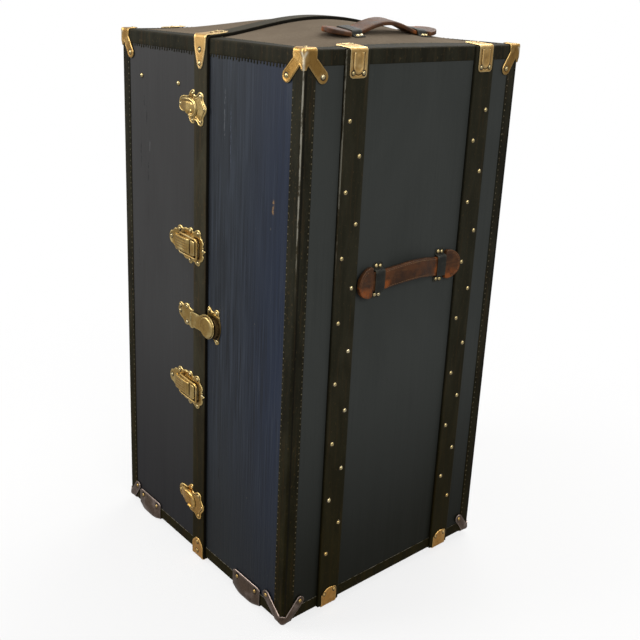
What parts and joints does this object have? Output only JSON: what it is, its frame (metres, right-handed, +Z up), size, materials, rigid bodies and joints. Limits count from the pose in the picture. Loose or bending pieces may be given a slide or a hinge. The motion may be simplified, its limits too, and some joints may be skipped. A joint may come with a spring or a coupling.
{
  "type": "steamer trunk",
  "caption": "Upright wardrobe steamer trunk with a crowned top, brass hardware and leather handles; it opens like a book on drawers and a hanging space.",
  "frame": {"origin": "middle of the closed trunk's bounding box, on the floor under the glides", "axes": "+Z up, -Y towards the lock face, +X towards the end face with the carrying handle"},
  "size_m": [0.5606, 0.5286, 1.0549],
  "materials": {
    "case": "plywood covered in navy embossed paper cloth, worn satin",
    "binding": "dark olive vulcanised fibre, scuffed",
    "slats": "hardwood faced with dark olive fibre",
    "brass": "aged brass plate, tarnished",
    "steel": "browned pressed steel",
    "handle_leather": "reddish brown stitched leather",
    "loop_leather": "black leather",
    "cabinet": "varnished plywood",
    "drawers": "plywood boxes covered in patterned lining paper",
    "rail": "brass plated tube"
  },
  "bodies": {
    "left_half": {"left_shell": "case", "left_edge_binding": "binding", "left_slat_front": "slats", "left_slat_rear": "slats", "left_slat_front_top_clamp": "brass", "left_slat_rear_top_clamp": "brass", "left_slat_front_bottom_clamp": "brass", "left_slat_rear_bottom_clamp": "brass", "top_corner_front_left": "brass", "top_corner_rear_left": "brass", "bottom_corner_front_left": "steel", "bottom_corner_rear_left": "steel", "glide_front_left": "steel", "glide_rear_left": "steel", "lower_dowel": "brass", "upper_dowel": "brass", "lower_catch_base": "brass", "upper_catch_base": "brass", "hasp_plate": "brass", "hinge_leaf_left": "steel", "drawer_cabinet": "cabinet"},
    "right_half": {"right_shell": "case", "right_edge_binding": "binding", "seam_strip": "slats", "right_slat_front": "slats", "right_slat_rear": "slats", "right_slat_front_top_clamp": "brass", "right_slat_rear_top_clamp": "brass", "right_slat_front_bottom_clamp": "brass", "right_slat_rear_bottom_clamp": "brass", "seam_top_clamp": "brass", "seam_bottom_clamp": "brass", "top_corner_front_right": "brass", "top_corner_rear_right": "brass", "bottom_corner_front_right": "steel", "bottom_corner_rear_right": "steel", "glide_front_right": "steel", "glide_rear_right": "steel", "lower_dowel_socket": "brass", "upper_dowel_socket": "brass", "lower_catch_keeper": "brass", "upper_catch_keeper": "brass", "lock_case": "brass", "side_handle_strap": "handle_leather", "top_handle_strap": "handle_leather", "side_handle_loop_front": "loop_leather", "side_handle_loop_rear": "loop_leather", "top_handle_loop_front": "loop_leather", "top_handle_loop_rear": "loop_leather", "hinge_leaf_right": "steel", "hanging_rail": "rail"},
    "lower_lever": {"lower_catch_lever": "brass"},
    "upper_lever": {"upper_catch_lever": "brass"},
    "lower_bail": {"lower_catch_bail": "brass"},
    "upper_bail": {"upper_catch_bail": "brass"},
    "hasp": {"hasp": "brass"},
    "drawer_1": {"drawer_1": "drawers"},
    "drawer_2": {"drawer_2": "drawers"},
    "drawer_3": {"drawer_3": "drawers"},
    "drawer_4": {"drawer_4": "drawers"}
  },
  "joints": [
    {"name": "case_hinge", "type": "hinge", "parent": "left_half", "child": "right_half", "pos_m": [-0.02185, 0.26225, 0.5132], "axis": [0, 0, 1], "range_deg": [0, 160]},
    {"name": "hasp_hinge", "type": "hinge", "parent": "left_half", "child": "hasp", "pos_m": [-0.02515, -0.25715, 0.5082], "axis": [0, 0, -1], "range_deg": [0, 150]},
    {"name": "lower_lever_hinge", "type": "hinge", "parent": "left_half", "child": "lower_lever", "pos_m": [-0.03315, -0.25775, 0.3622], "axis": [0, 0, 1], "range_deg": [0, 110]},
    {"name": "lower_bail_pivot", "type": "hinge", "parent": "lower_lever", "child": "lower_bail", "pos_m": [-0.06565, -0.25635, 0.3622], "axis": [0, 0, 1], "range_deg": [-110, 0]},
    {"name": "upper_lever_hinge", "type": "hinge", "parent": "left_half", "child": "upper_lever", "pos_m": [-0.03315, -0.25775, 0.6452], "axis": [0, 0, 1], "range_deg": [0, 110]},
    {"name": "upper_bail_pivot", "type": "hinge", "parent": "upper_lever", "child": "upper_bail", "pos_m": [-0.06565, -0.25635, 0.6452], "axis": [0, 0, 1], "range_deg": [-110, 0]},
    {"name": "drawer_1_slide", "type": "slide", "parent": "left_half", "child": "drawer_1", "axis": [1, 0, 0], "range_m": [0, 0.17]},
    {"name": "drawer_2_slide", "type": "slide", "parent": "left_half", "child": "drawer_2", "axis": [1, 0, 0], "range_m": [0, 0.17]},
    {"name": "drawer_3_slide", "type": "slide", "parent": "left_half", "child": "drawer_3", "axis": [1, 0, 0], "range_m": [0, 0.17]},
    {"name": "drawer_4_slide", "type": "slide", "parent": "left_half", "child": "drawer_4", "axis": [1, 0, 0], "range_m": [0, 0.17]}
  ],
  "couplings": [
    {"joint": "lower_bail_pivot", "follows": "lower_lever_hinge", "ratio": -1},
    {"joint": "upper_bail_pivot", "follows": "upper_lever_hinge", "ratio": -1}
  ]
}
